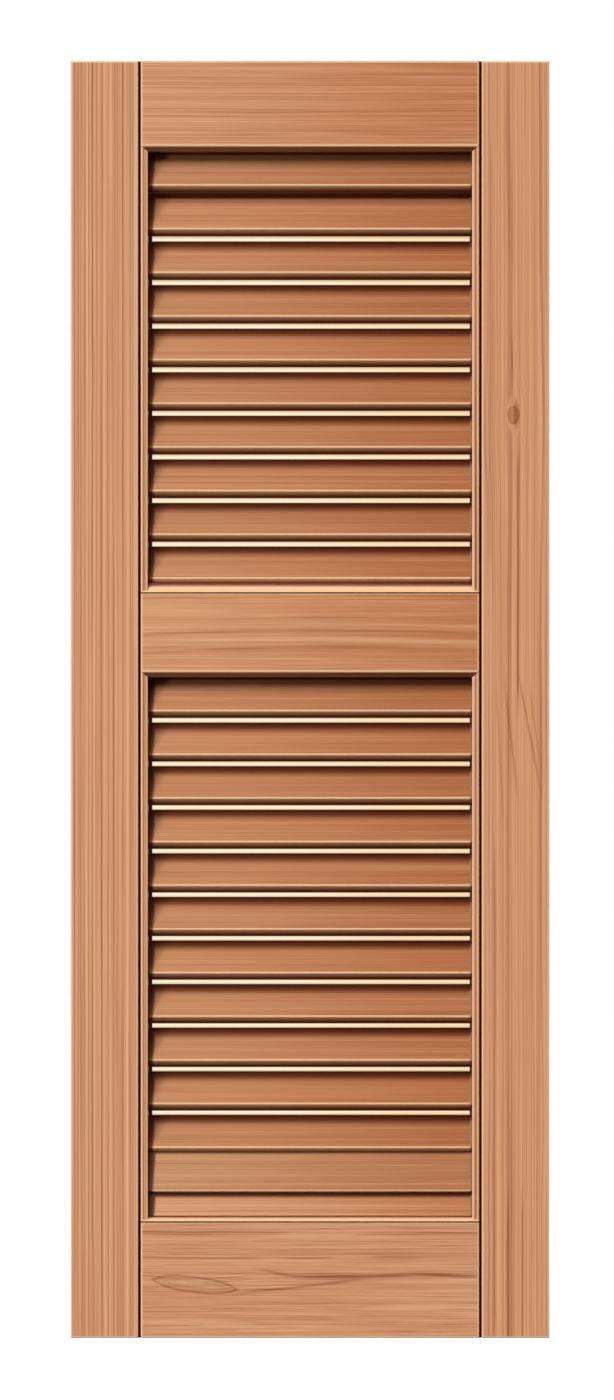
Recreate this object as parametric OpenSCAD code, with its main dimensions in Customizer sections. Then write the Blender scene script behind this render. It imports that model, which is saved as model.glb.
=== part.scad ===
// Louvred shutter panel: two stiles, three tenoned rails and two fields of fixed sloping slats,
// whose ends are housed in slim side strips. Millimetres, +Z up, the front face looks to -Y.
// The origin is at the middle of the foot, halfway through the thickness.

/* [Shutter] */
// Width over both stiles
shutter_w = 457; // [400:1:610]
// Height from the foot to the top
shutter_h = 1219; // [1120:1:1500]
// Thickness of the frame
frame_t = 38; // [37:0.5:46]

/* [Stiles] */
// Face width of each stile
stile_w = 64.5; // [56:0.5:90]
// Width of the shadow groove along the inner edge of each stile
groove_w = 2.5; // [1.5:0.1:4]
// Depth of the shadow groove
groove_d = 8; // [3:0.5:11]

/* [Rails] */
// Face height of the top rail
top_rail_h = 81; // [60:0.5:110]
// Face height of the middle rail
mid_rail_h = 76; // [50:0.5:100]
// Face height of the bottom rail
bottom_rail_h = 111.5; // [80:0.5:140]
// Height of the middle rail's lower arris above the foot
mid_rail_z = 636; // [560:1:700]
// Bevel under the top and middle rails, as high as it is deep
under_bevel = 5.2; // [3:0.1:7]
// Bevelled nosing on top of the middle rail, as high as it is deep
sill_bevel = 5.2; // [3:0.1:7]
// Bevelled nosing on top of the bottom rail, as high as it is deep
foot_bevel = 2; // [1.2:0.1:5]
// Fall of the weathered top behind the nosing, in degrees
sill_slope = 12; // [6:1:15]
// Width of the quirk scored under each nosing
quirk_w = 1.4; // [0.8:0.1:2]
// Depth of the quirk
quirk_d = 1.8; // [0.8:0.1:3]

/* [Tenons] */
// Thickness of the tenons on the rails
tenon_t = 12; // [8:0.5:14]
// Length of the tenons
tenon_l = 40; // [25:1:48]
// Shoulder above and below each tenon
tenon_shoulder = 14; // [8:0.5:18]

/* [Side strips] */
// Face width of the strips that hold the slats
strip_w = 6.7; // [6:0.1:10]
// Fall of the strip's face towards the opening
strip_fall = 1.2; // [0.6:0.1:2]
// Depth of the housings that take the ends of the slats
housing_d = 4; // [2:0.1:4.5]

/* [Slats] */
// Width of a slat across its face
slat_w = 38.3; // [35:0.1:41]
// Thickness of a slat
slat_t = 12.5; // [10:0.25:13]
// Lean of the slats from upright, in degrees
slat_tilt = 35; // [30:1:36]
// Height from one slat to the next
slat_pitch = 41.7; // [40:0.1:46]
// Set-back of the slats' noses behind the face of the frame
slat_recess = 5.5; // [4:0.1:6.5]
// Drop from a rail's lower arris to the nose of the first slat under it
first_drop = 37.6; // [36:0.1:50]
// Radius on the edges of a slat
slat_round = 1.4; // [1:0.1:3]
// Lean of the slats that close the gaps at the foot of the lower field, in degrees
closed_tilt = 10; // [6:1:14]
// Gaps closed to the light at the top of the upper field
closed_upper_count = 1; // [0:1:3]
// Gaps closed to the light at the foot of the lower field
closed_lower_count = 2; // [0:1:3]

/* [Hidden] */
// Easing of the frame's long edges
arris_r = 1.2;
// Fine bead line scored down each strip: width, depth and its share of the face from the outer edge
bead_w = 1.1;
bead_d = 0.9;
bead_share = 0.45;
// Clearance round a tenon, and beyond its end
tenon_fit = 0.15;
tenon_end_gap = 1;
// Clearance round a slat in its housing, beyond its ends, and under what it is cut to
housing_fit = 0.15;
slat_end_gap = 0.3;
seat_fit = 0.1;
// Shadow gap left under a slat that is cut to the sill
sill_gap = 1.6;
// How far a closing slat laps behind the nose above it
closing_lap = 0.6;
// The least height at which a cut slat is still fitted above the sill
least_cut = 4;
// How far cuts run past what they cut
overrun = 1;
// Straight steps that make up a rounded edge
arris_steps = 4;

front_y = -frame_t / 2;
back_y = frame_t / 2;
panel_w = shutter_w - 2 * (stile_w + groove_w);
opening_w = panel_w - 2 * strip_w;

// The two fields of slats: front arris of the sill below, of the head above, and the sill's nosing
lower_field = [bottom_rail_h, mid_rail_z, foot_bevel];
upper_field = [mid_rail_z + mid_rail_h, shutter_h - top_rail_h, sill_bevel];

// Faces of the rails: lower arris, upper arris, the bevel under the face and the nosing over it
bottom_rail_face = [0, bottom_rail_h, 0, foot_bevel];
mid_rail_face = [mid_rail_z, mid_rail_z + mid_rail_h, under_bevel, sill_bevel];
top_rail_face = [shutter_h - top_rail_h, shutter_h, under_bevel, 0];

// Rise of a sill from the foot of its nosing to its back
function sill_rise(nosing) = nosing + (frame_t - nosing) * tan(sill_slope);

// What a slat's rounded edge loses in height, and the width that closes the gap above it
round_loss = slat_round * (cos(slat_tilt) + sin(slat_tilt) - 1);
closing_w = (slat_pitch - slat_t * sin(slat_tilt) + 2 * round_loss + closing_lap) / cos(slat_tilt);

// Slats in a field: as many as show above its sill
function slat_count(field) =
    let (last_drop = field[1] - field[0] + slat_w * cos(slat_tilt) - sill_rise(field[2]) - least_cut)
    floor((last_drop - first_drop) / slat_pitch) + 1;
upper_count = slat_count(upper_field);
lower_count = slat_count(lower_field);

// Slat i of a field: whether it stands steep, its lean, its width and the height of its nose.
// The first slat and those under a closed gap are wider and reach up to what is above them.
function is_steep(field, i) = field == lower_field && i > lower_count - closed_lower_count;
function is_wide(field, i) =
    i == 1 || is_steep(field, i) || (field == upper_field && i <= 1 + closed_upper_count);
function lean(field, i) = is_steep(field, i) ? closed_tilt : slat_tilt;
function width(field, i) = is_wide(field, i) ? closing_w : slat_w;
function nose_z(field, i) = field[1] - first_drop - (i - 1) * slat_pitch;

function slat_name(field_name, i) = str(field_name, "_slat_", i < 10 ? "0" : "", i);

function unit(v) = v / norm(v);

// The points that round the corner b, between its neighbours a and c, to radius r
function round_corner(a, b, c, r) =
    let (
        to_a = unit(a - b),
        to_c = unit(c - b),
        half = acos(to_a * to_c) / 2,
        centre = b + unit(to_a + to_c) * r / sin(half),
        start = b + to_a * r / tan(half),
        end = b + to_c * r / tan(half)
    )
    [for (i = [0 : arris_steps]) centre + r * unit(start + (end - start) * i / arris_steps - centre)];

// An outline of [x, y, radius] corners as plain points, each corner eased to its radius
function eased(outline) =
    let (n = len(outline), flat = [for (p = outline) [p[0], p[1]]])
    [
        for (i = [0 : n - 1])
            each outline[i][2] == 0
                ? [flat[i]]
                : round_corner(flat[(i + n - 1) % n], flat[i], flat[(i + 1) % n], outline[i][2])
    ];

// A flat shape drawn in depth and height, carried along X between two places
module along_x(from, to) {
    translate([from, 0, 0])
        rotate([90, 0, 90])
            linear_extrude(to - from)
                children();
}

// A flat shape drawn in width and height, carried through the whole thickness
module through_y() {
    translate([0, back_y + overrun, 0])
        rotate([90, 0, 0])
            linear_extrude(frame_t + 2 * overrun)
                children();
}

// End view of a rail, in depth and height
module rail_section(face) {
    under = face[2];
    nosing = face[3];
    low = under > 0
        ? [
            [front_y, face[0], 0],
            [front_y + under, face[0] - under, 0],
            [back_y, face[0] - under, arris_r]
        ]
        : [[front_y, face[0], arris_r], [back_y, face[0], arris_r]];
    high = nosing > 0
        ? [
            [back_y, face[1] + sill_rise(nosing), arris_r],
            [front_y + nosing, face[1] + nosing, 0],
            [front_y, face[1], 0]
        ]
        : [[back_y, face[1], arris_r], [front_y, face[1], arris_r]];
    polygon(eased(concat(low, high)));
}

// Slot that scores the quirk across a rail's face, under its nosing
module quirk(face) {
    translate([front_y - overrun, face[1] - quirk_w])
        square([quirk_d + overrun, quirk_w]);
}

// Tenons of a rail as one bar through it, grown by a clearance on every side and at its ends
module tenon_bar(face, grow, end_grow) {
    height = face[1] - face[0] - 2 * tenon_shoulder;
    translate([0, 0, (face[0] + face[1]) / 2])
        cube(
            [panel_w + 2 * (tenon_l + end_grow), tenon_t + 2 * grow, height + 2 * grow],
            center = true
        );
}

// A rail between the stiles: its moulded section, eased at the four upright edges, and its tenons
module rail(face) {
    plan = [
        [-panel_w / 2, front_y, arris_r],
        [panel_w / 2, front_y, arris_r],
        [panel_w / 2, back_y, arris_r],
        [-panel_w / 2, back_y, arris_r]
    ];
    intersection() {
        along_x(-panel_w / 2, panel_w / 2)
            difference() {
                rail_section(face);
                if (face[3] > 0) quirk(face);
            }
        translate([0, 0, face[0] - face[2] - overrun])
            linear_extrude(face[1] - face[0] + face[2] + sill_rise(face[3]) + 2 * overrun)
                polygon(eased(plan));
    }
    tenon_bar(face, 0, 0);
}

module top_rail() {
    color("#d49b70") rail(top_rail_face);
}

module mid_rail() {
    color("#d1976c") rail(mid_rail_face);
}

module bottom_rail() {
    color("#c98f66") rail(bottom_rail_face);
}

// The right stile: grooved along its inner front edge, eased all along, with a mortise for each rail
module stile() {
    plan = [
        [panel_w / 2, front_y + groove_d, 0],
        [panel_w / 2 + groove_w, front_y + groove_d, 0],
        [panel_w / 2 + groove_w, front_y, arris_r],
        [shutter_w / 2, front_y, arris_r],
        [shutter_w / 2, back_y, arris_r],
        [panel_w / 2, back_y, arris_r]
    ];
    side = [
        [front_y, 0, arris_r],
        [back_y, 0, arris_r],
        [back_y, shutter_h, arris_r],
        [front_y, shutter_h, arris_r]
    ];
    difference() {
        intersection() {
            linear_extrude(shutter_h) polygon(eased(plan));
            along_x(panel_w / 2, shutter_w / 2) polygon(eased(side));
        }
        for (face = [bottom_rail_face, mid_rail_face, top_rail_face])
            tenon_bar(face, tenon_fit, tenon_end_gap);
    }
}

module left_stile() {
    color("#cc9167") mirror([1, 0, 0]) stile();
}

module right_stile() {
    color("#cc9167") stile();
}

// Puts a flat shape at the nose of slat i, leaning as the slat does
module at_nose(field, i) {
    translate([front_y + slat_recess, nose_z(field, i)])
        rotate(-lean(field, i))
            children();
}

// End view of slat i, grown by a clearance. A steep one is cut to the underside of the slat above.
module slat_section(field, i, grow) {
    top = width(field, i) + grow;
    difference() {
        at_nose(field, i)
            polygon(eased([
                [-grow, -grow, slat_round + grow],
                [slat_t + grow, -grow, slat_round + grow],
                [slat_t + grow, top, slat_round + grow],
                [-grow, top, slat_round + grow]
            ]));
        if (is_steep(field, i))
            at_nose(field, i - 1)
                translate([-closing_w, -seat_fit])
                    square([2 * closing_w, closing_w]);
    }
}

// End view of the room between the rails of a field, less what a slat cut to them stays clear of
module field_section(field) {
    nosing = field[2];
    polygon([
        [front_y, field[0] + sill_gap],
        [front_y + nosing, field[0] + nosing + sill_gap],
        [back_y, field[0] + sill_rise(nosing) + sill_gap],
        [back_y, field[1] - under_bevel - seat_fit],
        [front_y, field[1] - under_bevel - seat_fit]
    ]);
}

// A slat with both ends in the housings, cut to the rails and to the back where it would run past
module slat(field, i) {
    reach = opening_w / 2 + housing_d - slat_end_gap;
    along_x(-reach, reach)
        intersection() {
            slat_section(field, i, 0);
            field_section(field);
        }
}

module upper_slat(i) {
    color("#c0845a") slat(upper_field, i);
}

module lower_slat(i) {
    color("#c0845a") slat(lower_field, i);
}

// Plan of the right strip: its face falls towards the opening, with a bead line scored down it
module strip_plan() {
    bead = bead_share * strip_w;
    function face_y(out) = front_y + strip_fall * out / strip_w;
    polygon(eased([
        [panel_w / 2 - strip_w, face_y(strip_w), arris_r],
        [panel_w / 2 - bead - bead_w / 2, face_y(bead + bead_w / 2), 0],
        [panel_w / 2 - bead, face_y(bead) + bead_d, 0],
        [panel_w / 2 - bead + bead_w / 2, face_y(bead - bead_w / 2), 0],
        [panel_w / 2, front_y, arris_r],
        [panel_w / 2, back_y, 0],
        [panel_w / 2 - strip_w, back_y, 0]
    ]));
}

// The right strip of a field: scribed over the rails' bevels, mitred to the one above it,
// with a sloping housing for the end of each slat
module strip(field, sill_face, head_face, count) {
    difference() {
        translate([0, 0, field[0]])
            linear_extrude(field[1] - field[0])
                strip_plan();
        along_x(opening_w / 2 - overrun, panel_w / 2 + overrun) {
            rail_section(sill_face);
            rail_section(head_face);
        }
        through_y()
            polygon([
                [panel_w / 2, field[1]],
                [panel_w / 2, field[1] + overrun],
                [opening_w / 2 - overrun, field[1] + overrun],
                [opening_w / 2 - overrun, field[1] - under_bevel],
                [opening_w / 2, field[1] - under_bevel]
            ]);
        along_x(opening_w / 2 - overrun, opening_w / 2 + housing_d)
            for (i = [1 : count])
                slat_section(field, i, housing_fit);
    }
}

module upper_strip() {
    strip(upper_field, mid_rail_face, top_rail_face, upper_count);
}

module lower_strip() {
    strip(lower_field, bottom_rail_face, mid_rail_face, lower_count);
}

module upper_left_strip() {
    color("#c78b60") mirror([1, 0, 0]) upper_strip();
}

module upper_right_strip() {
    color("#c78b60") upper_strip();
}

module lower_left_strip() {
    color("#c78b60") mirror([1, 0, 0]) lower_strip();
}

module lower_right_strip() {
    color("#c78b60") lower_strip();
}

left_stile();
right_stile();
top_rail();
mid_rail();
bottom_rail();
upper_left_strip();
upper_right_strip();
lower_left_strip();
lower_right_strip();
for (i = [1 : upper_count])
    upper_slat(i);
for (i = [1 : lower_count])
    lower_slat(i);
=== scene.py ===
import math

import bpy
import numpy as np
from mathutils import Euler, Matrix, Vector


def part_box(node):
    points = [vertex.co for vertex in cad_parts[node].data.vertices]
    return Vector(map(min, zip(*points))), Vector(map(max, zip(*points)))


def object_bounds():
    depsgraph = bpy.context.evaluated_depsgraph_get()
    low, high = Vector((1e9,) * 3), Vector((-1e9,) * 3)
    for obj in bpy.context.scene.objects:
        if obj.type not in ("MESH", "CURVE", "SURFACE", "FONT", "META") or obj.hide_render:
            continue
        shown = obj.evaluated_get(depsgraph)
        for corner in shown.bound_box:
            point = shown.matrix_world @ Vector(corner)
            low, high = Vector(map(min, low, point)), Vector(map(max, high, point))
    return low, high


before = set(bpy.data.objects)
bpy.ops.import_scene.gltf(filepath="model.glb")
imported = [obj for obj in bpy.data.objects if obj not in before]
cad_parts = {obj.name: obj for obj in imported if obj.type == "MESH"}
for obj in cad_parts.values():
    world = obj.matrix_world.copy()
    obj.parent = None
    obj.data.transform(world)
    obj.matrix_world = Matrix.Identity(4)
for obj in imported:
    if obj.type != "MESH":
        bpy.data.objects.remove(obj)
cad_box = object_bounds()

# Stiles
# Two upright cedar boards, planed, grooved along the inner edge and mortised for the rails.
# They are cut from straight-grained stock; the right one has a small knot above its middle.
MM = 0.001
CEDAR = (0.640, 0.312, 0.164)
PALE_CEDAR = (0.780, 0.445, 0.260)
RED_CEDAR = (0.502, 0.188, 0.077)
GROWTH_LINE = (0.310, 0.108, 0.042)
# Pale edge colour: wear, and a painted highlight along the arrises.
WEAR_AND_HIGHLIGHT_EDGE = (0.860, 0.550, 0.320)
# The colour of painted shade in grooves, recesses, under bevels and noses and beside the slat ends.
PAINTED_SHADE_COLOUR = (0.095, 0.012, 0.002)
# Where a board turns redder and darker, in mm along it from left to right.
REDDEN_LEFT, REDDEN_RIGHT = -150, 190
LINE_FADE = 25


class Field:
    """A shader socket: an expression on it adds Math nodes to its tree."""

    def __init__(self, tree, socket=None):
        self.tree = tree
        self.socket = socket

    def node(self, kind, settings=None, inputs=None, output=0):
        """A new node of this kind, with its settings first, then its sockets' values or links."""
        made = self.tree.nodes.new(kind)
        for name, value in (settings or {}).items():
            setattr(made, name, value)
        for key, value in (inputs or {}).items():
            if isinstance(value, Field):
                self.tree.links.new(value.socket, made.inputs[key])
            else:
                made.inputs[key].default_value = value
        return Field(self.tree, made.outputs[output])

    def math(self, operation, *values):
        return self.node("ShaderNodeMath", {"operation": operation}, dict(enumerate(values)))

    def __add__(self, other):
        return self.math("ADD", self, other)

    def __sub__(self, other):
        return self.math("SUBTRACT", self, other)

    def __rsub__(self, other):
        return self.math("SUBTRACT", other, self)

    def __mul__(self, other):
        return self.math("MULTIPLY", self, other)

    def __truediv__(self, other):
        return self.math("DIVIDE", self, other)

    def __rtruediv__(self, other):
        return self.math("DIVIDE", other, self)

    def __pow__(self, other):
        return self.math("POWER", self, other)

    def __abs__(self):
        return self.math("ABSOLUTE", self)

    __radd__ = __add__
    __rmul__ = __mul__

    def larger(self, other):
        """The larger of the two values at each point."""
        return self.math("MAXIMUM", self, other)

    def step(self, low, high, start=0.0, end=1.0):
        """A smooth step from start to end as the value goes from low to high."""
        limits = {"Value": self, "From Min": low, "From Max": high, "To Min": start, "To Max": end}
        return self.node("ShaderNodeMapRange", {"interpolation_type": "SMOOTHSTEP"}, limits)

    def bell(self, width):
        """A bell curve of the value, 1 at zero and nearly 0 at twice the width."""
        return self.math("POWER", math.e, self * self / -(width * width))

    def blend(self, first, second):
        """The first colour where the value is 0, the second where it is 1."""
        mix = {"data_type": "RGBA", "clamp_factor": True}
        return self.node("ShaderNodeMix", mix, {0: self, 6: first, 7: second}, 2)

    def to_output(self, kind="ShaderNodeOutputMaterial"):
        """Links this shader to a new output node."""
        self.tree.links.new(self.socket, self.tree.nodes.new(kind).inputs["Surface"])


def bare_tree(owner):
    """Empties the node tree of a material or world and gives the field that makes its new nodes."""
    owner.use_nodes = True
    owner.node_tree.nodes.clear()
    return Field(owner.node_tree)


class Grain:
    """Fields that run with one board: along its grain, across its face and out of it, in mm."""

    def __init__(self, root, centre, turn, seed):
        place = root.node("ShaderNodeTexCoord", output="Object")
        board = {"Vector": place, "Location": centre, "Rotation": turn, "Scale": (MM, MM, MM)}
        self.local = root.node("ShaderNodeMapping", {"vector_type": "TEXTURE"}, board)
        self.seed = seed
        self.along, self.across, self.out = (
            root.node("ShaderNodeSeparateXYZ", inputs={0: self.local}, output=i) for i in range(3)
        )

    def streaks(self, length, width, detail=2.0, shift=0.0):
        """Noise from 0 to 1 drawn out along the grain: patches of this length and width in mm."""
        stretch = (1 / length, 1 / width, 1 / width)
        offset = (self.seed + shift, self.seed * 0.7 - shift, shift * 1.3)
        drawn = self.local.node(
            "ShaderNodeVectorMath", {"operation": "MULTIPLY_ADD"}, {0: self.local, 1: stretch, 2: offset}
        )
        noise = {"Vector": drawn, "Scale": 1.0, "Detail": detail}
        return self.local.node("ShaderNodeTexNoise", inputs=noise)

    def lines(self, rows, sway):
        """The sum of soft lines with the grain, each a bell across the face that fades past its ends.

        A row holds the line's place across the face, its width, its lower and upper end, the share
        of the sway that it follows and its strength.
        """
        total = 0.0
        for at, width, low, high, share, strength in rows:
            started = self.along.step(low - LINE_FADE, low + LINE_FADE)
            shown = started * self.along.step(high + LINE_FADE, high - LINE_FADE)
            total = total + (self.across + sway * share - at).bell(width) * shown * strength
        return total

    def edges(self, half, front, nose):
        """Distances in mm to the nearest long edge, or a slat's nose, to an end and back from the face."""
        edge = half[1] + self.across if nose else half[1] - abs(self.across)
        return edge, half[0] - abs(self.along), front - self.out


def growth_lines(grain, level, ring, pith, run):
    """Late wood of the rings round a pith axis that runs with the grain.

    Ring number = distance from the pith / ring width, plus noise; each ring darkens slowly to its
    late wood and ends sharply. A ring's darkness is its own random number, fading along the board.
    Level is the place across the face, as the grain wavers.
    """
    side = level - pith[0]
    deep = grain.out - pith[1]
    reach = (side * side + deep * deep) ** 0.5
    one_way = {"noise_dimensions": "1D"}
    slow = {"W": reach / (ring * 4) + grain.seed, "Scale": 1.0}
    uneven = reach.node("ShaderNodeTexNoise", one_way, slow)
    count = reach / ring + uneven * 3.0
    number = count.math("FLOOR", count)
    part = count - number
    late = part.step(0.30, 0.84) * part.step(0.86, 1.0, 1.0, 0.0)
    chance = number.node("ShaderNodeTexWhiteNoise", one_way, {"W": number + grain.seed})
    fading = grain.streaks(length=run * 0.8, width=9, detail=1.0, shift=7.7).step(0.34, 0.60)
    return late * (chance ** 1.5) * (0.25 + fading * 0.75)


def oiled_cedar(
    name, board, half, front, ring, pith, waver, run, tone, bold, painted_shade, drift=0.0, figure=None, nose=False
):
    """Growth rings that waver along the board, with fine drawn-out threads and fibres between them.

    Board is the face's centre, turn and seed; half is its half length and half width, and front is
    how far it lies before the centre. Run is the length of the streaks, and bold the strength of the
    grain. Drift is how far the wood turns redder and darker towards its right-hand end. A figure
    gives how far it bends the rings and its own dark and pale marks. The arrises are pale with wear
    and a painted highlight, with a stronger painted highlight on the nose of a slat or the nosing of
    a rail, and the painted shade function says where shade is painted into grooves, recesses,
    undersides and corners.
    """
    material = bpy.data.materials.new(name)
    grain = Grain(bare_tree(material), *board)
    long_waver = (grain.streaks(length=380, width=45, detail=1.0) - 0.5) * waver
    short_waver = (grain.streaks(length=70, width=16, detail=1.0, shift=3.1) - 0.5) * (waver * 0.28)
    wander = long_waver + short_waver
    shift, dark, bright = figure(grain, wander) if figure else (0.0, 0.0, 0.0)
    lines = growth_lines(grain, grain.across + wander + shift, ring, pith, run)
    threads = grain.streaks(length=run * 1.6, width=1.3, shift=5.9)
    fibres = grain.streaks(length=run * 0.5, width=2.2, detail=3.0, shift=11.3)
    sheen = grain.streaks(length=run * 1.5, width=6.0, shift=17.9)
    pores = grain.streaks(length=22, width=0.7, shift=23.5)

    deep_grain = lines * 0.75 + threads.step(0.50, 0.68) * 0.36 + fibres.step(0.52, 0.78) * 0.26
    deep_grain = (deep_grain + pores.step(0.55, 0.8) * 0.10) * bold + dark
    pale_grain = sheen.step(0.42, 0.70) * 0.34 + threads.step(0.48, 0.30) * 0.46
    pale_grain = (pale_grain + fibres.step(0.48, 0.26) * 0.24) * bold + bright
    body, pale, red, line = (
        [c * t for c, t in zip(colour, tone)] + [1]
        for colour in (CEDAR, PALE_CEDAR, RED_CEDAR, GROWTH_LINE)
    )
    # Redder and darker towards the board's right-hand end, by its drift.
    reddening = grain.along.step(REDDEN_LEFT, REDDEN_RIGHT) * drift
    colour = deep_grain.blend(pale_grain.blend(reddening.blend(body, red), pale), line)

    edge, end, depth = grain.edges(half, front, nose)
    near = edge.math("MINIMUM", edge, end)
    # Pale arrises from wear and a painted highlight; a stronger painted highlight on a slat's nose and a
    # rail's nosing.
    arris = ((near * near + depth * depth) ** 0.5).step(0.9, 2.2, 1.0, 0.0)
    if nose:
        painted_edge_highlight = edge.step(1.3, 0.3) * depth.step(7.0, 1.0)
    else:
        painted_edge_highlight = edge.step(0.2, -0.6) * grain.across.step(0.0, 2.0) * depth.step(7.0, 5.0)
    wear_and_highlight = arris.larger(painted_edge_highlight)
    colour = (wear_and_highlight * 0.9).blend(colour, [*WEAR_AND_HIGHLIGHT_EDGE, 1])
    # Painted shade: darkening where shade falls in grooves, recesses, under bevels and noses, and beside
    # the slat ends.
    colour = painted_shade(grain, edge, end, depth).blend(colour, [*PAINTED_SHADE_COLOUR, 1])

    height = fibres * 0.4 + threads * 0.3 + pores * 0.35 - lines * 0.5 - dark * 0.6
    bump = height.node("ShaderNodeBump", inputs={"Strength": 0.35, "Distance": 0.0004, "Height": height})
    oil = {
        "Base Color": colour,
        "Roughness": 0.52 + deep_grain * 0.12 - wear_and_highlight * 0.08,
        "Normal": bump,
        "Specular IOR Level": 0.12,
    }
    colour.node("ShaderNodeBsdfPrincipled", inputs=oil).to_output()
    return material


def face_turn(along, outward):
    """The rotation whose X runs along the grain and whose Z points out of the face."""
    x, z = Vector(along), Vector(outward)
    return Matrix((x, z.cross(x), z)).transposed().to_euler()


UPRIGHT = face_turn((0, 0, 1), (0, -1, 0))
FRONT = -cad_box[0][1] / MM
GROOVE_WIDTH = 2.5
# Depths in mm over which the painted shade in the grooves fades out.
PAINTED_SHADE_THINS, PAINTED_SHADE_ENDS = 10.0, 12.0
STILE_ENDS = (-640, 640)

KNOT_ALONG, KNOT_ACROSS = 271.5, 2.2
KNOT_WIDE, KNOT_LONG = 5.6, 8.4
KNOT_PUSH, KNOT_REACH, KNOT_STREAM = 90.0, 45.0, 0.42
BEND_BELOW = 27.0
KNOT_LINES = (
    (-2.2, 1.1, 0, 235, 0.55, 0.85),
    (4.0, 0.9, 305, 345, 1.0, 0.60),
    (20.4, 1.1, -602, -144, 0.3, 0.50),
    (24.2, 0.9, 133, 525, 0.3, 0.45),
    (-6.2, 1.2, -640, -478, 0.3, 0.50),
    (7.1, 1.0, -640, -478, 0.3, 0.45),
)
KNOT_LIGHTS = (
    (17.6, 1.3, -602, 525, 0.3, 0.35),
    (-26.0, 1.6, *STILE_ENDS, 0.0, 0.40),
)
BENT_LINES = (
    (-2.2, 1.0, -75, 15, 0.19, 0.55),
    (12.0, 1.1, -90, 15, 0.12, 0.40),
    (19.0, 1.0, -110, 5, 0.05, 0.35),
    (-11.0, 0.9, -60, 10, 0.14, 0.35),
)


def knot_figure(grain, wander):
    """A round knot: lines part round it as a stream parts round a post, and one runs out of it.

    The parting is a push away from the knot, push x across / (distance squared + reach). Below the
    knot a few lines lean over, further the lower they are.
    """
    along = grain.along - KNOT_ALONG
    across = grain.across - KNOT_ACROSS
    stream = along * KNOT_STREAM
    parting = across * (-KNOT_PUSH / (across * across + stream * stream + KNOT_REACH))
    off_centre = ((across / KNOT_WIDE) ** 2 + (along / KNOT_LONG) ** 2) ** 0.5
    core = off_centre.step(0.72, 1.08, 0.42, 0.0)
    halo = (off_centre - 0.95).bell(0.17) * 0.40
    rings = core.math("SINE", off_centre * 15.0) * core * 0.22
    below = (BEND_BELOW - grain.along).larger(0.0)
    dark = core + halo + rings + grain.lines(KNOT_LINES, wander) + grain.lines(BENT_LINES, below)
    return parting, dark, grain.lines(KNOT_LIGHTS, wander)


STRAIGHT_SWAY = 0.15
STRAIGHT_LINES = (
    (28.6, 0.5, 0.40), (24.9, 0.5, 0.35), (22.5, 0.6, 0.55), (18.7, 0.6, 0.55), (14.9, 0.5, 0.35),
    (11.5, 0.7, 0.50), (7.2, 0.5, 0.35), (2.5, 0.9, 0.45), (-3.6, 0.5, 0.40), (-8.9, 0.6, 0.45),
    (-13.2, 0.5, 0.35), (-17.6, 0.8, 0.55), (-25.0, 0.7, 0.55), (-27.3, 0.5, 0.40),
)
STRAIGHT_LIGHTS = (
    (20.6, 0.6, 0.7), (16.8, 0.7, 0.6), (9.4, 0.6, 0.5), (0.2, 0.7, 0.5), (-6.2, 0.7, 0.5),
    (-22.3, 0.8, 0.7), (-29.0, 0.8, 0.7),
)


def straight_figure(grain, wander):
    """Quarter-sawn wood: dark and pale lines that run straight down the whole board.

    A row of their tables holds a line's place across the face, its width and its strength.
    """
    faded = 0.45 + grain.streaks(length=260, width=7, detail=1.0, shift=41.0).step(0.30, 0.62) * 0.75
    dark, light = (
        grain.lines(
            [(at, width, *STILE_ENDS, STRAIGHT_SWAY, strength) for at, width, strength in rows], wander
        )
        for rows in (STRAIGHT_LINES, STRAIGHT_LIGHTS)
    )
    return 0.0, dark * faded, light * faded


def painted_groove_shade(grain, edge, end, depth):
    """Painted shade in the groove, which lies past the face's inner edge."""
    inside = depth.step(0.6, 2.0) * depth.step(PAINTED_SHADE_THINS, PAINTED_SHADE_ENDS, 1.0, 0.0)
    return edge.step(0.3, -0.4) * inside * 0.96


STILES = (
    ("left_stile", 3.7, straight_figure, (1.03, 1.02, 1.01)),
    ("right_stile", 21.4, knot_figure, (1.01, 0.98, 0.945)),
)
for side, seed, figure, tone in STILES:
    low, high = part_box(side)
    outer = low[0] if side == "left_stile" else high[0]
    inner = high[0] - GROOVE_WIDTH * MM if side == "left_stile" else low[0] + GROOVE_WIDTH * MM
    middle = ((outer + inner) / 2, 0, (low[2] + high[2]) / 2)
    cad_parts[side].material_slots[0].material = oiled_cedar(
        side + "_cedar",
        board=(middle, UPRIGHT, seed),
        half=((high[2] - low[2]) / 2 / MM, abs(outer - inner) / 2 / MM),
        front=FRONT,
        ring=3.6,
        pith=(-160.0, 40.0),
        waver=7.0,
        run=420,
        tone=tone,
        bold=0.9,
        painted_shade=painted_groove_shade,
        figure=figure,
    )

# Rails
# Three level cedar boards tenoned into the stiles. The top and middle ones are bevelled under
# the face; the middle and bottom ones have a bevelled nosing over a scored quirk.
LEVEL = face_turn((1, 0, 0), (0, -1, 0))
UNDER_BEVEL, SILL_RISE, FOOT_RISE = 5.2, 12.2, 9.7
PANEL_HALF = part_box("right_stile")[0][0] / MM

EYE_ALONG, EYE_ACROSS = -110.0, -4.7
EYE_HALF_LONG, EYE_HALF_HIGH, EYE_LEAN = 40.0, 7.0, 0.12


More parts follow.
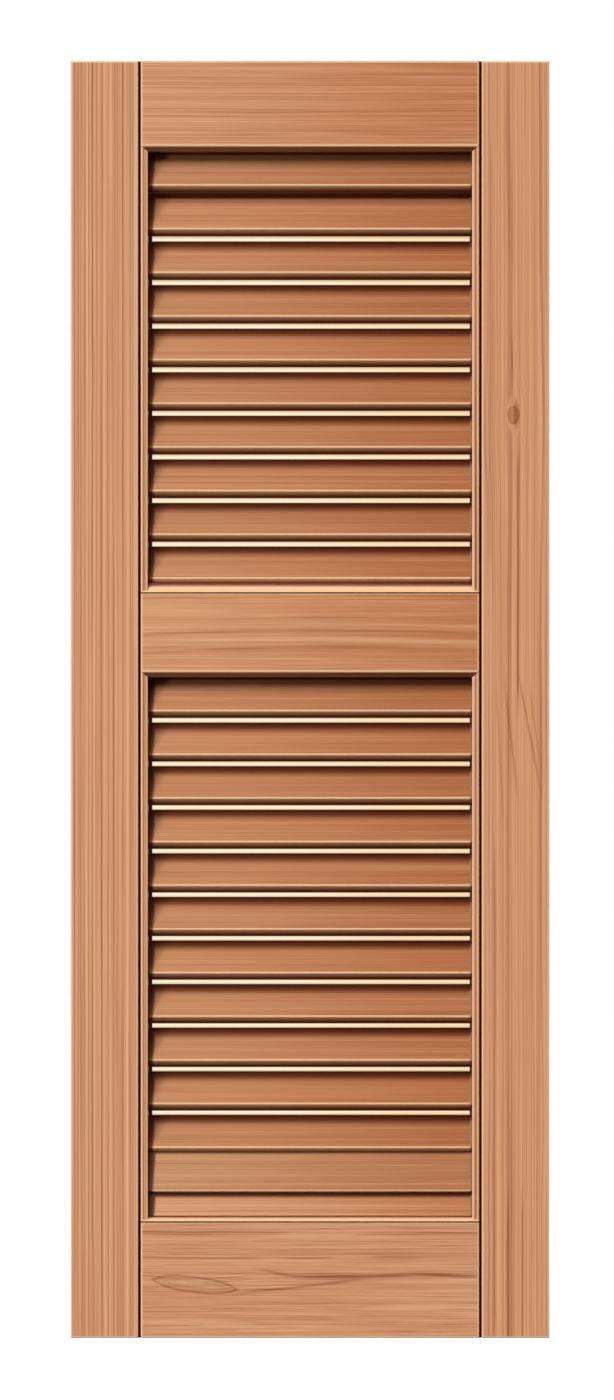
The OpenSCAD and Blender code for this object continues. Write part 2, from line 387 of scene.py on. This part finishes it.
def flame_figure(grain, wander):
    """A leaning almond eye, and two lines that close on a dark flame.

    The eye is |v| = half height x (1 - |u / half length| cubed). The line above the flame rises in
    two humps, and the one below it climbs evenly to the right.
    """
    u = grain.along - EYE_ALONG
    v = grain.across - EYE_ACROSS + u * EYE_LEAN + wander * 0.15
    almond = abs(u / EYE_HALF_LONG) ** 3 + abs(v) / EYE_HALF_HIGH
    eye = (almond - 1.0).bell(0.17) * 0.60 + (almond - 0.45).bell(0.20) * 0.22
    humps = 3.0 + (grain.along + 52.0).bell(24.0) * 7.0 + (grain.along - 102.0).bell(32.0) * 2.8
    above = (grain.across - humps + wander * 0.2).bell(1.6)
    above = above * grain.along.step(-62, -30) * grain.along.step(175, 140)
    climb = grain.along * 0.115 - 5.6
    under = (grain.across - climb + wander * 0.1).bell(1.4)
    under = under * grain.along.step(-90, -60) * grain.along.step(60, 25)
    flame = (grain.across - 1.8).bell(4.2) * (grain.along - 36.0).bell(46.0)
    swell = u.bell(55.0) * (grain.across + 5.0).bell(16.0) * 6.0
    light = u.bell(26.0) * v.bell(3.0) * 0.35
    return swell, eye + above * 0.55 + under * 0.5 + flame * 0.40, light


def waves_figure(grain, wander):
    """Three long soft lines that rise together to the rail's middle and fall off to both ends."""
    bow = ((grain.along - 10.0) / 100.0) ** 2 * 1.5
    level = grain.across + bow + wander * 0.25
    middle = 0.45 + (grain.along - 14.0).bell(85.0) * 0.55
    faded = 0.5 + grain.streaks(length=140, width=20, detail=1.0, shift=31.0).step(0.3, 0.65) * 0.5
    first = (level - 1.6).bell(1.2) * 0.75 + (level - 0.8).bell(3.2) * 0.22
    second = (level - 13.6).bell(1.3) * grain.along.step(-95, -50) * 0.60
    third = (level + 14.2 + bow * 0.6).bell(1.6) * 0.55
    light = (level - 7.5).bell(2.4) * 0.4 + (level + 7.0).bell(2.6) * 0.4
    return 0.0, (first + second + third) * middle * faded, light * faded


def painted_end_shade(grain, edge, end, depth):
    """Painted shade on the end grain beside the groove, on the bevel under the face and in the quirk."""
    inside = depth.step(0.8, 2.2) * depth.step(PAINTED_SHADE_THINS, PAINTED_SHADE_ENDS, 1.0, 0.0)
    beside = end.step(0.9, 0.1) * inside * 0.96
    under = edge.step(-0.4, -1.6) * grain.across.step(1.0, -1.0) * 0.72
    scored = edge.step(-0.1, 0.2) * edge.step(1.8, 1.3) * depth.step(0.2, 0.8)
    quirk = scored * grain.across.step(-1.0, 1.0) * 0.95
    return beside.larger(under.larger(quirk))


# A row holds the rail, its seed, ring width, bevel under the face and rise above it, the length of
# its streaks, its tone, the grain's strength, its drift to a redder, darker right-hand end and its figure.
RAILS = (
    ("top_rail", 41.2, 2.1, UNDER_BEVEL, 0.0, 170, (1.05, 1.02, 0.98), 0.70, 1.0, None),
    ("mid_rail", 57.9, 2.7, UNDER_BEVEL, SILL_RISE, 140, (1.04, 1.02, 0.97), 0.60, 1.0, waves_figure),
    ("bottom_rail", 66.1, 2.4, 0.0, FOOT_RISE, 95, (1.0, 0.985, 0.95), 1.05, 0.0, flame_figure),
)
for rail, seed, ring, under, over, run, tone, bold, drift, figure in RAILS:
    low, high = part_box(rail)
    face_low, face_high = low[2] / MM + under, high[2] / MM - over
    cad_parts[rail].material_slots[0].material = oiled_cedar(
        rail + "_cedar",
        board=((0, 0, (face_low + face_high) / 2 * MM), LEVEL, seed),
        half=(PANEL_HALF, (face_high - face_low) / 2),
        front=FRONT,
        ring=ring,
        pith=(-140.0, 60.0),
        waver=8.0,
        run=run,
        tone=tone,
        bold=bold,
        painted_shade=painted_end_shade,
        drift=drift,
        figure=figure,
    )

# Side strips
# Slim cedar strips glued to the stiles' inner edges, mitred under the rails' bevels. Each is
# housed for the ends of the slats and has a fine bead line scored down its face.
STRIPS = ("upper_left_strip", "upper_right_strip", "lower_left_strip", "lower_right_strip")
STRIP_RECESS = 0.6
STRIP_SEED, STRIP_SEED_STEP = 80.3, 9.1


def painted_reveal_shade(grain, edge, end, depth):
    """Painted shade on the strip's sides, in the groove and in the reveal beside the slats."""
    return depth.step(1.6, 3.4) * depth.step(30.0, 36.0, 1.0, 0.0) * 0.94


for number, strip in enumerate(STRIPS):
    low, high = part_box(strip)
    middle = ((low[0] + high[0]) / 2, 0, (low[2] + high[2]) / 2)
    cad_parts[strip].material_slots[0].material = oiled_cedar(
        strip + "_cedar",
        board=(middle, UPRIGHT, STRIP_SEED + STRIP_SEED_STEP * number),
        half=((high[2] - low[2]) / 2 / MM, (high[0] - low[0]) / 2 / MM),
        front=FRONT - STRIP_RECESS,
        ring=2.4,
        pith=(-90.0, 30.0),
        waver=4.0,
        run=300,
        tone=(1.0, 0.97, 0.94),
        bold=0.9,
        painted_shade=painted_reveal_shade,
    )

# Slats
# Fixed sloping louvres of the same cedar, a shade redder, moulded with eased edges and slid into
# the strips' housings before the frame is closed. The two lowest stand steeper and shut their gaps.
SLAT_LEAN, STEEP_LEAN = math.radians(35), math.radians(10)
CLOSING_SLATS = ("upper_slat_01", "upper_slat_02", "lower_slat_01", "lower_slat_12", "lower_slat_13")
STEEP_TONES = {"lower_slat_12": (0.85, 0.855, 0.82), "lower_slat_13": (0.96, 1.0, 0.99)}
SLAT_TINT, SLAT_SHADE, SHADE_SWING, SWING_STEP = (1.0, 0.91, 0.81), 0.76, 0.025, 2.3
SLAT_SEED, SLAT_SEED_STEP = 130.7, 13.9
SLAT_WIDTH, SLAT_PITCH, FIRST_DROP, SLAT_RECESS = 38.3, 41.7, 37.6, 5.5
SLAT_HALF = SLAT_WIDTH / 2
OPENING_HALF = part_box("upper_right_strip")[0][0] / MM
HEAD_RAILS = {"upper": "top_rail", "lower": "mid_rail"}


def painted_housing_shade(grain, edge, end, depth):
    """Painted shade against the strips: the left strip's painted shadow, widening up the slat, a thin dark
    line at the right end, and painted shade under the nose and in the topmost corner.
    """
    left = (grain.along + OPENING_HALF - edge * 0.06).step(3.4, 6.4, 0.9, 0.0)
    right = (OPENING_HALF - grain.along).step(0.8, 2.6, 0.75, 0.0)
    under = edge.step(0.9, 0.0) * depth.step(4.0, 9.5) * 0.92
    top = edge.step(35.0, 38.5) * 0.92
    return left.larger(right).larger(under.larger(top))


def painted_gap_shade(grain, edge, end, depth):
    """The same, with painted shade along the upper edge of a slat, where the slat above shades it."""
    return painted_housing_shade(grain, edge, end, depth).larger(edge.step(22.5, 33.5) * 0.90)


slats = [name for name in sorted(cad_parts) if "_slat_" in name]
for number, slat in enumerate(slats):
    field, _, place = slat.split("_")
    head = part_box(HEAD_RAILS[field])[0][2] / MM + UNDER_BEVEL
    nose = head - FIRST_DROP - (int(place) - 1) * SLAT_PITCH
    lean = STEEP_LEAN if slat in STEEP_TONES else SLAT_LEAN
    back = SLAT_RECESS - FRONT + SLAT_HALF * math.sin(lean)
    middle = (0, back * MM, (nose + SLAT_HALF * math.cos(lean)) * MM)
    turn = face_turn((1, 0, 0), (0, -math.cos(lean), math.sin(lean)))
    shade = SLAT_SHADE + SHADE_SWING * math.sin(SWING_STEP * number)
    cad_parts[slat].material_slots[0].material = oiled_cedar(
        slat + "_cedar",
        board=(middle, turn, SLAT_SEED + SLAT_SEED_STEP * number),
        half=(OPENING_HALF, SLAT_HALF),
        front=0.0,
        ring=2.4,
        pith=(-120.0, 30.0),
        waver=5.0,
        run=300,
        tone=STEEP_TONES.get(slat, [shade * tint for tint in SLAT_TINT]),
        bold=0.6,
        painted_shade=painted_housing_shade if slat in CLOSING_SLATS else painted_gap_shade,
        drift=1.1,
        nose=True,
    )

# Floor
# A plain pale floor under the shutter's foot. It is white to the camera, keeps the shutter's
# shadow, and is dull in the light that it returns.
FLOOR_HALF = 12.0
FLOOR_GREY, FLOOR_DULL = (0.35, 0.35, 0.35, 1), (0.04, 0.035, 0.03, 1)
WHITE, FLOOR_WHITE = (1, 1, 1, 1), 0.85


def add_object(name, data):
    """A new object at the origin that holds this mesh, lamp or lens, linked to the scene."""
    made = bpy.data.objects.new(name, data)
    bpy.context.scene.collection.objects.link(made)
    return made


def flat_sheet(name, corners, paint):
    """One flat face through four corners, listed anticlockwise as its front is seen."""
    mesh = bpy.data.meshes.new(name)
    mesh.from_pydata(np.array(corners).tolist(), [], [(0, 1, 2, 3)])
    mesh.materials.append(paint)
    return add_object(name, mesh)


def seen_rays(root):
    """1 for a ray from the camera, off a gloss or through glass, 0 for the light's own bounces."""
    camera_ray, glossy_ray, clear_ray = (
        root.node("ShaderNodeLightPath", output=f"Is {ray} Ray")
        for ray in ("Camera", "Glossy", "Transmission")
    )
    return camera_ray.larger(glossy_ray.larger(clear_ray))


floor_paint = bpy.data.materials.new("floor_paint")
root = bare_tree(floor_paint)
matt = root.node("ShaderNodeBsdfDiffuse", inputs={"Color": FLOOR_GREY})
dull = root.node("ShaderNodeBsdfDiffuse", inputs={"Color": FLOOR_DULL})
white = root.node("ShaderNodeEmission", inputs={"Color": WHITE, "Strength": FLOOR_WHITE})
shown = root.node("ShaderNodeAddShader", inputs={0: matt, 1: white})
root.node("ShaderNodeMixShader", inputs={0: seen_rays(root), 1: dull, 2: shown}).to_output()
square = np.array([[-1, -1, 0], [1, -1, 0], [1, 1, 0], [-1, 1, 0]])
floor = flat_sheet("floor", square * FLOOR_HALF, floor_paint)

# Backing sheets
# A sheet close behind each field, painted light that stands for the light beyond it. It glows cream
# between the slats, palest at the middle of each gap and warmer to the right, and is painted dark as
# shade where gaps are shut.
SHEET_BACK, SHEET_HALF = 0.022, 0.19
GLOW_LEFT, GLOW_RIGHT = -0.1505, 0.1525
WARM_FROM, WARM_TO = -0.05, 0.12
GAP_BELOW_NOSE, GLOW_WIDTH = 8.75, 1.9
GLOW_PALE, GLOW_WARM = (1.0, 0.905, 0.690, 1), (0.985, 0.775, 0.510, 1)
# The second colour is painted dark, as shade behind the shut gaps and round the glow.
GLOW_GOLD, PAINTED_DARK_BEHIND = (0.66, 0.44, 0.235, 1), (0.012, 0.004, 0.002, 1)


def gap_glow(name, first, glow_low, glow_high):
    """The glow between slats, seen from the front only.

    First is the height of the field's first gap: steps of the slats' pitch from it give how far a
    point is off the middle of the nearest gap. The glow ends at the two heights given.
    """
    paint = bpy.data.materials.new(name)
    root = bare_tree(paint)
    place = root.node("ShaderNodeTexCoord", output="Object")
    wide, high = (root.node("ShaderNodeSeparateXYZ", inputs={0: place}, output=i) for i in (0, 2))
    steps = (high - first) / (SLAT_PITCH * MM)
    off_middle = (steps - steps.math("ROUND", steps)) * SLAT_PITCH
    cream = wide.step(WARM_FROM, WARM_TO).blend(GLOW_PALE, GLOW_WARM)
    glow = off_middle.bell(GLOW_WIDTH).blend(GLOW_GOLD, cream)
    lit = wide.step(GLOW_LEFT - MM, GLOW_LEFT) * wide.step(GLOW_RIGHT + MM, GLOW_RIGHT)
    lit = lit * high.step(glow_low - MM, glow_low) * high.step(glow_high + MM, glow_high)
    facing = 1 - root.node("ShaderNodeNewGeometry", output="Backfacing")
    seen = root.node("ShaderNodeLightPath", output="Is Camera Ray") * facing
    clear = root.node("ShaderNodeBsdfTransparent")
    light = root.node("ShaderNodeEmission", inputs={"Color": lit.blend(PAINTED_DARK_BEHIND, glow), "Strength": 1.0})
    root.node("ShaderNodeMixShader", inputs={0: seen, 1: clear, 2: light}).to_output()
    return paint


# A row holds the field, the rail at its foot and how many gaps are shut at its top and its foot.
FIELDS = (("upper", "mid_rail", 1, 0), ("lower", "bottom_rail", 0, 2))
for field, below, shut_top, shut_foot in FIELDS:
    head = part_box(HEAD_RAILS[field])[0][2] + UNDER_BEVEL * MM
    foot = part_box(below)[1][2]
    first = head - (FIRST_DROP + GAP_BELOW_NOSE) * MM
    count = sum(name.startswith(field) for name in slats)
    glow_high = first - (shut_top - 0.5) * SLAT_PITCH * MM
    glow_low = first - (count - 1.5 - shut_foot) * SLAT_PITCH * MM
    paint = gap_glow(field + "_sheet_paint", first, glow_low, glow_high)
    left, right = -SHEET_HALF, SHEET_HALF
    corners = [(x, SHEET_BACK, z) for x, z in ((left, foot), (right, foot), (right, head), (left, head))]
    sheet = flat_sheet(field + "_sheet", corners, paint)

# Light
# A soft key from high on the left, a tall softbox beside it for the left-hand edges, one behind
# that fills the back, and a dim studio round them that the camera sees as white.
SHUTTER_MIDDLE = Vector((0, 0, 0.62))
DOME_FOOT, DOME_TOP = (0.02, 0.02, 0.02, 1), (0.34, 0.34, 0.35, 1)
DOME_FROM, DOME_TO = -0.05, 0.40

key = bpy.data.lights.new("key", "SUN")
key.energy = 2.80
key.angle = math.radians(34)
key.color = (1.0, 0.985, 0.96)
key_lamp = add_object("key", key)
key_lamp.rotation_euler = Euler((math.radians(56), 0, math.radians(-25)))


def softbox(name, wide, high, power, place):
    """A rectangular lamp at this place, turned to the shutter's middle."""
    box = bpy.data.lights.new(name, "AREA")
    box.shape = "RECTANGLE"
    box.size, box.size_y = wide, high
    box.energy = power
    lamp = add_object(name, box)
    lamp.location = place
    lamp.rotation_euler = (SHUTTER_MIDDLE - lamp.location).to_track_quat("-Z", "Y").to_euler()


softbox("side_box", wide=0.5, high=2.2, power=26, place=(-2.3, -2.6, 0.75))
softbox("back_box", wide=1.2, high=2.2, power=60, place=(2.0, 2.2, 0.9))

studio = bpy.data.worlds.new("studio")
air = bare_tree(studio)
direction = air.node("ShaderNodeTexCoord", output="Generated")
upward = air.node("ShaderNodeSeparateXYZ", inputs={0: direction}, output=2)
dome = upward.step(DOME_FROM, DOME_TO).blend(DOME_FOOT, DOME_TOP)
room = seen_rays(air).blend(dome, WHITE)
sky = air.node("ShaderNodeBackground", inputs={"Color": room, "Strength": 1.0})
sky.to_output("ShaderNodeOutputWorld")
bpy.context.scene.world = studio

# Camera
# A long lens square to the front, far enough off that upright and level edges stay parallel.
# The shutter's place in the picture is given in pixels of a 614 by 1400 frame.
PHOTO_WIDE, PHOTO_HIGH = 614, 1400
OBJECT_COLUMN, OBJECT_ROW = 310.0, 699.5
OBJECT_ROWS = 1277.0
DISTANCE = 12.0
height = cad_box[1][2] - cad_box[0][2]
pixel = height / OBJECT_ROWS
lens = bpy.data.cameras.new("camera")
lens.sensor_fit = "VERTICAL"
lens.sensor_height = 36
lens.lens = lens.sensor_height * DISTANCE / (PHOTO_HIGH * pixel)
camera = add_object("camera", lens)
camera.location = (
    (PHOTO_WIDE / 2 - OBJECT_COLUMN) * pixel,
    cad_box[0][1] - DISTANCE,
    height / 2 + (OBJECT_ROW - PHOTO_HIGH / 2) * pixel,
)
camera.rotation_euler = Euler((math.radians(90), 0, 0))
bpy.context.scene.camera = camera
bpy.context.scene.view_settings.view_transform = "Standard"
